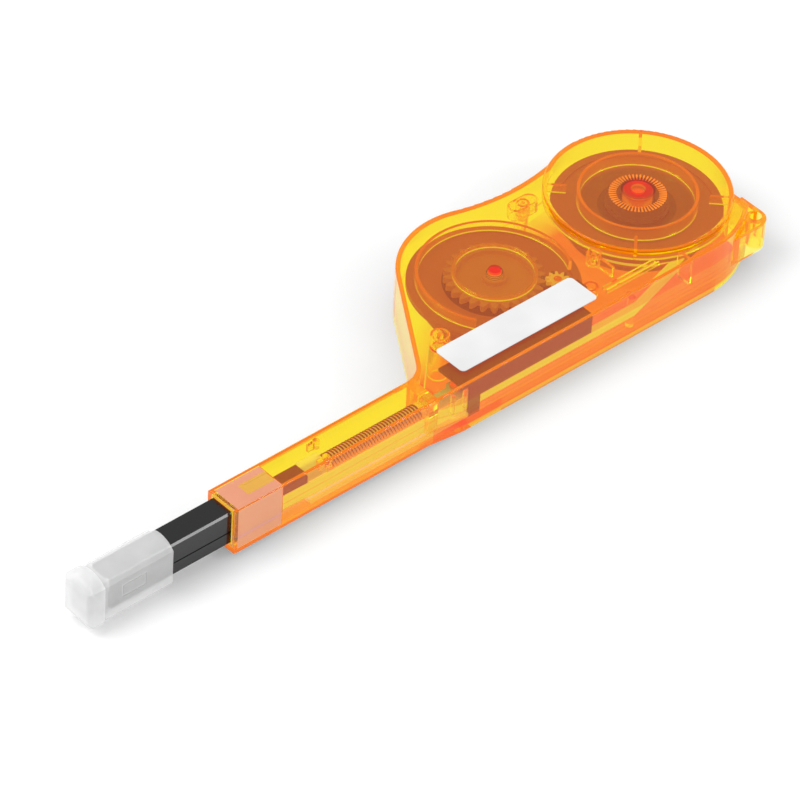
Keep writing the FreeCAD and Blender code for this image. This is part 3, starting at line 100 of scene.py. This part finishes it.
# %% A material that is being wired
class Finish:
    """A material's graph, with a method for each kind of node that is used more than once.
    Colours are handed in as red, green and blue."""

    def __init__(self, name):
        self.material = bpy.data.materials.new(name)
        self.material.use_nodes = True
        self.tree = self.material.node_tree
        self.tree.nodes.clear()
        self.end = self.tree.nodes.new("ShaderNodeOutputMaterial")
        self.spot = self.add("ShaderNodeTexCoord", output="Object")

    def add(self, kind, values=None, output=0, **settings):
        """Add a node: its settings first, then the values or links of its sockets."""
        node = self.tree.nodes.new(kind)
        for key, value in settings.items():
            if key == "stops":
                ramp = node.color_ramp
                while len(ramp.elements) < len(value):
                    ramp.elements.new(1.0)
                for element, (level, colour) in zip(ramp.elements, value):
                    element.position = level
                    element.color = (*colour, 1.0)
            else:
                setattr(node, key, value)
        for key, value in (values or {}).items():
            socket = node.inputs[key]
            if isinstance(value, Wire):
                self.tree.links.new(value.socket, socket)
            elif socket.type == "RGBA":
                socket.default_value = (*value, 1.0)
            else:
                socket.default_value = value
        return Wire(self, node.outputs[output])

    def maths(self, operation, *values):
        return self.add("ShaderNodeMath", dict(enumerate(values)), operation=operation)

    def noise(self, scale, detail):
        return self.add("ShaderNodeTexNoise",
                        {"Vector": self.spot, "Scale": scale, "Detail": detail}, "Fac")

    def stretch(self, value, start, end, low=0.0, high=1.0):
        """Low up to the start, high from the end on, and straight between them."""
        return self.add("ShaderNodeMapRange",
                        {"Value": value, "From Min": start, "From Max": end, "To Min": low,
                         "To Max": high}, clamp=True)

    def spread(self, cloud, low, high):
        """Stretch a noise, most of which lies from 0.3 to 0.7, between two numbers."""
        return self.stretch(cloud, 0.3, 0.7, low, high)

    def blend(self, factor, first, second):
        """Mix two colours."""
        return self.add("ShaderNodeMix", {"Factor": factor, 6: first, 7: second}, 2,
                        data_type="RGBA")

    def ramp(self, value, stops):
        """Colours that change along a 0 to 1 value."""
        return self.add("ShaderNodeValToRGB", {"Fac": value}, "Color", stops=stops)

    def along(self, axis):
        """One coordinate, in millimetres: "X", "Y" or "Z"."""
        return self.add("ShaderNodeSeparateXYZ", {0: self.spot}, axis) * (1.0 / MM)

    def away(self, x, y):
        """Distance in plan from an upright line, in millimetres."""
        flat = self.add("ShaderNodeVectorMath", {0: self.spot, 1: (1.0 / MM, 1.0 / MM, 0.0)},
                        operation="MULTIPLY")
        return self.add("ShaderNodeVectorMath", {0: flat, 1: (x, y, 0.0)}, "Value",
                        operation="DISTANCE")

    def upward(self):
        """How far the surface faces up: 1 on a level top, 0 on a wall, -1 underneath."""
        facing = self.add("ShaderNodeNewGeometry", output="Normal")
        return self.add("ShaderNodeSeparateXYZ", {0: facing}, "Z")

    def bump(self, height, strength, distance):
        return self.add("ShaderNodeBump",
                        {"Height": height, "Strength": strength, "Distance": distance})

    def ray(self, kind):
        """1 for one kind of ray, 0 for the others."""
        return self.add("ShaderNodeLightPath", output=f"Is {kind} Ray")

    def principled(self, values):
        return self.add("ShaderNodeBsdfPrincipled", values)

    def clear(self, colour):
        return self.add("ShaderNodeBsdfTransparent", {"Color": colour})

    def emission(self, colour, strength):
        return self.add("ShaderNodeEmission", {"Color": colour, "Strength": strength})

    def absorption(self, colour, density):
        return self.add("ShaderNodeVolumeAbsorption", {"Color": colour, "Density": density})

    def both(self, first, second):
        return self.add("ShaderNodeAddShader", {0: first, 1: second})

    def mix(self, factor, first, second):
        return self.add("ShaderNodeMixShader", {0: factor, 1: first, 2: second})

    def surface(self, shader, volume=None):
        self.tree.links.new(shader.socket, self.end.inputs["Surface"])
        if volume:
            self.tree.links.new(volume.socket, self.end.inputs["Volume"])
        return self.material


def wear(material, *names):
    """Give solids their finish."""
    for name in names:
        nodes[name].material_slots[0].material = material
        print(name, "wears", material.name)


def place(name, data):
    """Put a mesh, a lamp or a camera in the scene."""
    thing = bpy.data.objects.new(name, data)
    scene.collection.objects.link(thing)
    return thing


# %% [markdown]
# ## Clear tinted plastic
#
# The casing is moulded in a fluorescent plastic. It takes in light of every colour, blue most
# of all, and gives back orange. So one volume shader takes light away with each millimetre
# and another adds the glow: a thin wall looks yellow, and a view along a wall tends to orange.
# Where many faces send light back and forth, the plastic looks redder still. That light is
# painted into the surface's colour, in bands and round patches, and so is shade on the floor.
#
# Light that falls on the parts inside has to pass the casing too. For those rays the surface
# steps aside, because bent light can't be followed back to a lamp. It also vanishes where the
# two shells meet, or a black line would show.

# %% Places on the pen, in millimetres, and the colours of its light
TAKEUP = (38.8, 1.6)  # the front axle
SUPPLY = (86.4, 1.6)  # the rear axle
SIDE_FACE = -25.6  # just inside the long flat side
REAR_CORNER = (27.15, 27.35)  # radii just inside and outside the rear corner's arc
BUSH_END = -52.4  # the side has no bands in front of this, round the bush
NECK = (6.0, 11.0)  # middle and half length of the neck's side
NOSE = (4.0, -4.0)  # where the bands shift to their height on the nose
BANDS_TOP = 16.0  # top of the bands' scale
RAMP = (-6.5, 7.7)  # where the parting line slopes down
PARTING = 6.3  # its height along the nozzle
PARTING_DROP = 1.9  # how much lower it is round the reels
SKIN = 0.03  # how near a face has to be to count as lying on the parting line
BOSS = (4.3, 3.6, 1.8)  # radii of the boss over the rear axle: edge, face and bore
STOP = 1.65  # radius of the stop over the front axle

WHITE = (1.0, 1.0, 1.0)
AMBER = (1.0, 0.6, 0.4)
ORANGE = (1.0, 0.5, 0.4)
CREAM = (1.0, 0.85, 0.6)
RED = (0.95, 0.15, 0.25)
CRIMSON = (0.9, 0.06, 0.12)
ABSORBED = (290.0, 125.0, 1500.0)  # taken from red, green and blue light by a metre
GLOW = (1.0, 0.27, 0.0)  # what a deep look into the plastic tends to


# %% Painted light and shade on the casing
def side_bands(finish, stops, lift=0.0):
    """Painted light and shade for the long flat side and the rear corner, in bands that follow
    the height. On the nose the bands lie higher by the lift."""
    nose = finish.stretch(finish.along("X"), *NOSE)
    height = (finish.along("Z") - nose * lift) * (1.0 / BANDS_TOP)
    bands = finish.ramp(height, [(level / BANDS_TOP, colour) for level, colour in stops])
    reach = finish.away(*SUPPLY)
    arc = reach.over(REAR_CORNER[0]) * reach.under(REAR_CORNER[1])
    rear = arc * finish.along("X").over(SUPPLY[0])
    side = finish.along("Y").under(SIDE_FACE) * finish.along("X").over(BUSH_END)
    return finish.blend(side.largest(rear), WHITE, bands)


def disc(finish, under, centre, radius, colour, soft=0.15):
    """Lay a round patch of another colour over what is there."""
    outside = finish.stretch(finish.away(*centre), radius - soft, radius + soft)
    return finish.blend(outside, colour, under)


def level_face(finish):
    """1 on floors, roofs and rims, 0 on walls."""
    return finish.upward().size().over(0.5)


def upper_painted_light(finish):
    """Painted light: two bands along the side, and red ends on the two bosses over the axles.
    """
    painted_colour = side_bands(finish, [
        (0.0, WHITE), (6.6, WHITE), (6.9, AMBER), (7.2, WHITE), (9.2, WHITE), (9.6, ORANGE),
        (13.4, ORANGE), (13.8, AMBER), (14.6, AMBER), (14.8, WHITE)], lift=2.3)
    for radius, colour in zip(BOSS, ((0.6, 0.25, 0.3), CRIMSON, WHITE)):
        painted_colour = disc(finish, painted_colour, SUPPLY, radius, colour)
    return disc(finish, painted_colour, TAKEUP, STOP, CRIMSON)


def lower_painted_light_and_shade(finish):
    """Painted light and shade: red along the foot of the long side and by the neck, and a
    floor that turns from yellow to orange towards that side."""
    painted_colour = side_bands(finish, [(0.0, (0.6, 0.04, 0.15)), (0.7, RED), (1.6, ORANGE),
                               (2.8, CREAM), (4.4, CREAM)])
    middle, half = NECK
    neck = (finish.along("X") - middle).size().under(half) * finish.along("Y").under(SIDE_FACE)
    painted_colour = finish.blend(neck, painted_colour, (1.0, 0.4, 0.45))
    # Under the reels the painted shade reaches up to 20 mm further across, from x = 15 to 45
    # mm.
    further = finish.stretch(finish.along("X"), 15.0, 45.0) * 20.0
    across = finish.stretch(finish.along("Y") - further, -7.0, 5.0)
    reel_floor_shade = finish.ramp(across, [(0.0, (1.0, 0.06, 0.4)), (1.0, WHITE)])
    # The floor under the spring is painted orange for the spring's shadow.
    spring_shadow_paint = finish.ramp(finish.stretch(finish.along("Y"), -19.5, -18.0),
                               [(0.0, (1.0, 0.35, 0.5)), (1.0, WHITE)])
    # The nozzle's floor gives way to the body's over 12 mm at the neck.
    body = finish.stretch(finish.along("X"), -6.0, 6.0)
    floor_painted_shade = finish.blend(body, spring_shadow_paint, reel_floor_shade)
    floor_painted_shade = finish.blend(level_face(finish), WHITE, floor_painted_shade)
    return finish.blend(finish.along("Y").over(SIDE_FACE), painted_colour, floor_painted_shade)


def parting_face(finish):
    """1 on the two faces where the shells meet, 0 elsewhere."""
    slope = finish.stretch(finish.along("X"), *RAMP)
    gap = (finish.along("Z") - PARTING + slope * PARTING_DROP).size()
    return gap.under(SKIN) * level_face(finish)


# %% Glass-like finish with depth
def clear_plastic(name, painted_light_and_shade):
    """The casing's plastic, with painted light and shade in a surface colour that comes from a
    function.
    """
    finish = Finish(name)
    grain = finish.noise(900.0, 4.0)
    ripple = finish.noise(55.0, 2.0)
    body = finish.principled({
        "Base Color": painted_light_and_shade(finish), "Roughness": finish.spread(grain, 0.018, 0.048),
        "IOR": 1.42, "Specular Tint": (0.9, 0.6, 0.9), "Transmission Weight": 1.0,
        "Normal": finish.bump(ripple, 0.04, 0.4 * MM)})
    body = finish.mix(parting_face(finish), body, finish.clear(WHITE))
    aside = finish.ray("Shadow").largest(finish.ray("Diffuse"))
    shader = finish.mix(aside, body, finish.clear((0.68, 0.68, 0.68)))
    density = max(ABSORBED)
    kept = tuple(1.0 - amount / density for amount in ABSORBED)
    emitted = tuple(amount * share for amount, share in zip(ABSORBED, GLOW))
    strength = max(emitted)
    hue = tuple(value / strength for value in emitted)
    depth = finish.both(finish.absorption(kept, density), finish.emission(hue, strength))
    return finish.surface(shader, finish.mix(aside, depth, finish.absorption(WHITE, 0.0)))


wear(clear_plastic("casing_plastic", upper_painted_light), "upper_shell")
wear(clear_plastic("casing_plastic_low", lower_painted_light_and_shade), "lower_shell")

# %% [markdown]
# ## Opaque mouldings
#
# Moulded plastic is never quite even: its gloss wanders a little and it carries a fine
# grain. One function makes all the opaque mouldings, with the amounts that differ handed in.
# Those inside the casing glow a little, for the light that the casing passes on to them, and
# patches of shade lie where one part covers another.


# %% Opaque plastic
def moulding(name, colour, roughness, specular=0.3, grain=0.01, glow=0.0, patches=None):
    """The grain is its depth in millimetres. patches takes the finish and its colour, and
    gives back a colour with more in it."""
    finish = Finish(name)
    cloud = finish.noise(60.0, 2.0)
    shade = tuple(value * 0.86 for value in colour)
    tone = finish.blend(finish.spread(cloud, 0.0, 1.0), colour, shade)
    if patches:
        tone = patches(finish, tone)
    gloss = finish.spread(cloud, roughness * 0.85, roughness * 1.2)
    relief = finish.bump(finish.noise(2600.0, 2.0), 0.25, grain * MM)
    return finish.surface(finish.principled({
        "Base Color": tone, "Roughness": gloss, "Specular IOR Level": specular,
        "Normal": relief, "Emission Color": tone, "Emission Strength": glow}))


# %% Patches of shade
BROWN = (0.42, 0.09, 0.06)
# The next three colours are painted shade on the reels.
DEEP_BROWN = (0.2, 0.05, 0.03)
GEAR_SHADOW_DARK = (0.012, 0.006, 0.005)
UMBER = (0.05, 0.02, 0.015)
GEAR_SHADE = 12.7  # radius of the gear's shade on the front reel, in millimetres
CROWN_SHADE = (14.5, 9.8)  # radii of the crown wheel's shade on the rear reel
CROWN_TIPS = 13.95  # a height just below the tips of the crown wheel's teeth
PINION_STEP = 12.65  # a height between the pinion's lower and upper teeth
TAPE_EXIT = -64.0  # where the tape comes out of the casing


# Painted shadow of the gear on the front reel: a dark disc round the front axle.
def under_gear(finish, tone):
    return disc(finish, tone, TAKEUP, GEAR_SHADE, GEAR_SHADOW_DARK)


# Painted shade on the rear reel round the crown wheel: a brown ring and a darker middle.
def under_crown(finish, tone):
    tone = disc(finish, tone, SUPPLY, CROWN_SHADE[0], DEEP_BROWN, soft=0.6)
    return disc(finish, tone, SUPPLY, CROWN_SHADE[1], UMBER)


def toothed_top(finish, tone):
    """The crown wheel's teeth catch the light, and all below their tips lies in shade."""
    return finish.blend(finish.along("Z").under(CROWN_TIPS), tone, (0.06, 0.02, 0.015))


def dark_below(finish, tone):
    """The pinion's lower teeth lie in the shade of the gear and the rack."""
    return finish.blend(finish.along("Z").under(PINION_STEP), tone, (0.1, 0.04, 0.02))


def amber_light(finish, tone):
    """Inside the casing the tape is lit by light that the plastic has coloured."""
    return finish.blend(finish.along("X").over(TAPE_EXIT), tone, (0.95, 0.68, 0.2))


# %% What each moulding is made of
wear(moulding("black_plastic", (0.003, 0.003, 0.0035), 0.15, specular=0.5), "guide_tube")
wear(moulding("rack_plastic", (0.04, 0.02, 0.01), 0.3), "rack_slider")
wear(moulding("gear_plastic", (0.48, 0.14, 0.06), 0.35, glow=0.35), "takeup_gear")
wear(moulding("takeup_reel_plastic", BROWN, 0.35, glow=0.3, patches=under_gear), "takeup_reel")
wear(moulding("supply_reel_plastic", BROWN, 0.35, glow=0.3, patches=under_crown),
     "supply_reel")
wear(moulding("crown_plastic", (1.0, 0.24, 0.1), 0.35, glow=0.8, patches=toothed_top),
     "supply_crown")
wear(moulding("pinion_plastic", (0.95, 0.5, 0.18), 0.45, specular=0.4, glow=0.3,
              patches=dark_below), "drive_pinion")
wear(moulding("white_plastic", (0.88, 0.88, 0.87), 0.4, specular=0.5),
     "head_shaft", "head_tip")
wear(moulding("tape_cloth", (0.9, 0.9, 0.9), 0.85, specular=0.2, grain=0.03, glow=0.5,
              patches=amber_light), "cleaning_tape", "supply_tape", "takeup_tape")
wear(moulding("label_film", (0.89, 0.89, 0.89), 0.35, specular=0.5, grain=0.003), "label")

# %% [markdown]
# ## Springs
#
# The wire is dark on top and bright at its sides, where it mirrors the lit casing. A copy of
# the main spring stands in for the solid, fixed to the casing.


# %% Spring wire
def drawn_wire(name):
    finish = Finish(name)
    # Painted reflection: bright sides as if mirroring the lit casing, a dark top, and a glow.
    tone = finish.ramp(finish.upward(),
                       [(0.2, (0.9, 0.42, 0.15)), (0.4, (0.01, 0.004, 0.003))])
    return finish.surface(finish.principled({
        "Base Color": tone, "Metallic": 0.4,
        "Roughness": finish.spread(finish.noise(1500.0, 3.0), 0.3, 0.5),
        "Emission Color": tone, "Emission Strength": 0.4}))


spring_steel = drawn_wire("spring_steel")
wear(spring_steel, "takeup_spring")

# %% A copy of the main spring
coil = nodes["main_spring"].copy()
coil.data = nodes["main_spring"].data.copy()
coil.name = "working_spring"
scene.collection.objects.link(coil)
coil.material_slots[0].material = spring_steel
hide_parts("main_spring")
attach(coil, "casing")
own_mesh(coil)

# %% [markdown]
# ## Frosted plastic
#
# Cloudy plastic hides a part of what is behind each of its surfaces, and light wanders inside
# it. The milk is how much a surface hides, and the glow stands for the wandering light.


# %% Cap, bush and slide bar
PATCH_FRONT = -60.2  # front end of the yellow patch on the bush's top, in millimetres
PATCH_MIDDLE = -20.6  # its middle, side to side
PATCH_HALF = 1.9  # half its width
PATCH_LOW = 13.95  # a height just below it


def frosted_plastic(name, colour, roughness, milk, glow, patches=None):
    """Light that comes off something dull meets plain pale plastic instead, which is enough
    for it and gives less grain."""
    finish = Finish(name)
    cloud = finish.noise(120.0, 2.0)
    shade = tuple(value * 0.97 for value in colour)
    tone = finish.blend(cloud, colour, shade)
    if patches:
        tone = patches(finish, tone)
    gloss = finish.spread(cloud, roughness * 0.85, roughness * 1.15)
    frost = finish.bump(finish.noise(1800.0, 4.0), 0.3, 0.02 * MM)
    cloudy = finish.principled({
        "Base Color": tone, "Roughness": gloss, "Normal": frost, "Emission Color": tone,
        "Emission Strength": glow})
    hidden = finish.spread(cloud, milk * 0.92, milk * 1.08)
    shell = finish.mix(hidden, finish.clear(WHITE), cloudy)
    plain = finish.add("ShaderNodeBsdfDiffuse", {"Color": (0.8, 0.8, 0.8)})
    return finish.surface(finish.mix(finish.ray("Diffuse"), shell, plain))


def notch_patch(finish, tone):
    """A yellow patch is painted on the notch in the bush's top, for the light of the yellow
    casing that shows through where the bush is thin.
    """
    along = finish.along("X").over(PATCH_FRONT)
    across = (finish.along("Y") - PATCH_MIDDLE).size().under(PATCH_HALF)
    top = finish.along("Z").over(PATCH_LOW)
    return finish.blend(along * across * top, tone, (0.95, 0.55, 0.2))


wear(frosted_plastic("cap_plastic", (0.98, 0.98, 0.98), 0.3, milk=0.36, glow=0.2), "cap_body")
wear(frosted_plastic("lid_plastic", (0.93, 0.93, 0.93), 0.35, milk=0.62, glow=0.13), "cap_lid")
wear(frosted_plastic("bush_plastic", (1.0, 0.42, 0.9), 0.35, milk=0.8, glow=0.4,
                     patches=notch_patch), "nose_bush")
wear(frosted_plastic("link_plastic", (1.0, 0.8, 0.6), 0.35, milk=0.35, glow=0.6), "slide_link")

# %% [markdown]
# ## Floor, light and camera
#
# A plain pale floor and broad soft lamps. The floor shows itself a little brighter to the
# camera, and through the plastic, than it is to the lamps, so that the background is plain
# white and the shadow still shows.


# %% Floor
def floor_finish(name):
    finish = Finish(name)
    plain = finish.add("ShaderNodeBsdfDiffuse", {"Color": (0.85, 0.85, 0.85)})
    lifted = finish.both(plain, finish.emission(WHITE, 0.16))
    outside = finish.mix(finish.ray("Camera").largest(finish.ray("Glossy")), plain, lifted)
    bright = finish.emission(WHITE, 1.0)
    return finish.surface(finish.mix(finish.ray("Transmission"), outside, bright))


FLOOR_HALF = 3.0
grid = bmesh.new()
bmesh.ops.create_grid(grid, x_segments=1, y_segments=1, size=FLOOR_HALF)
sheet = bpy.data.meshes.new("floor")
grid.to_mesh(sheet)
grid.free()
sheet.materials.append(floor_finish("pale_floor"))
floor = place("floor", sheet)
print("floor", 2 * FLOOR_HALF, "m square")

# %% Sky and lamps
world = bpy.data.worlds.new("studio")
scene.world = world
world.use_nodes = True
sky = world.node_tree.nodes["Background"]
sky.inputs["Color"].default_value = (*WHITE, 1.0)
sky.inputs["Strength"].default_value = 0.68
LAMP_AIM = Vector((0.0, 0.0, 0.008))


def soft_lamp(name, spot, width, height, power):
    """A rectangular lamp: its place and sides in metres, its power in watts."""
    data = bpy.data.lights.new(name, "AREA")
    data.shape = "RECTANGLE"
    data.size = width
    data.size_y = height
    data.energy = power
    lamp = place(name, data)
    lamp.location = spot
    lamp.rotation_euler = (LAMP_AIM - Vector(spot)).to_track_quat("-Z", "Y").to_euler()
    print(name, power, "W")


soft_lamp("key_lamp", (-0.5, 0.25, 0.75), 0.55, 0.55, 4.2)
soft_lamp("strip_lamp", (0.46, -0.69, 0.56), 0.34, 0.14, 1.6)

# %% Camera
AZIMUTH = math.radians(-44.09)
ELEVATION = math.radians(40.95)
ROLL = math.radians(3.61)
DISTANCE = 1.42857
target = Vector((-0.595, -9.107, 1.905)) * MM
turn = (Matrix.Rotation(AZIMUTH, 4, "Z") @ Matrix.Rotation(math.pi / 2 - ELEVATION, 4, "X")
        @ Matrix.Rotation(ROLL, 4, "Z"))
lens = bpy.data.cameras.new("camera")
lens.lens = 270.0
lens.sensor_width = 36.0
lens.clip_end = 20.0
camera = place("camera", lens)
spot = target + turn.to_3x3() @ Vector((0, 0, DISTANCE))
camera.matrix_world = Matrix.Translation(spot) @ turn
scene.camera = camera
print("camera", round(DISTANCE, 2), "m away,", lens.lens, "mm lens")

# %% [markdown]
# Clear plastic needs many bounces, because a look through the casing crosses a dozen faces.

# %% Light paths
scene.view_settings.view_transform = "Standard"
scene.cycles.max_bounces = 32
scene.cycles.transmission_bounces = 28
scene.cycles.transparent_max_bounces = 40
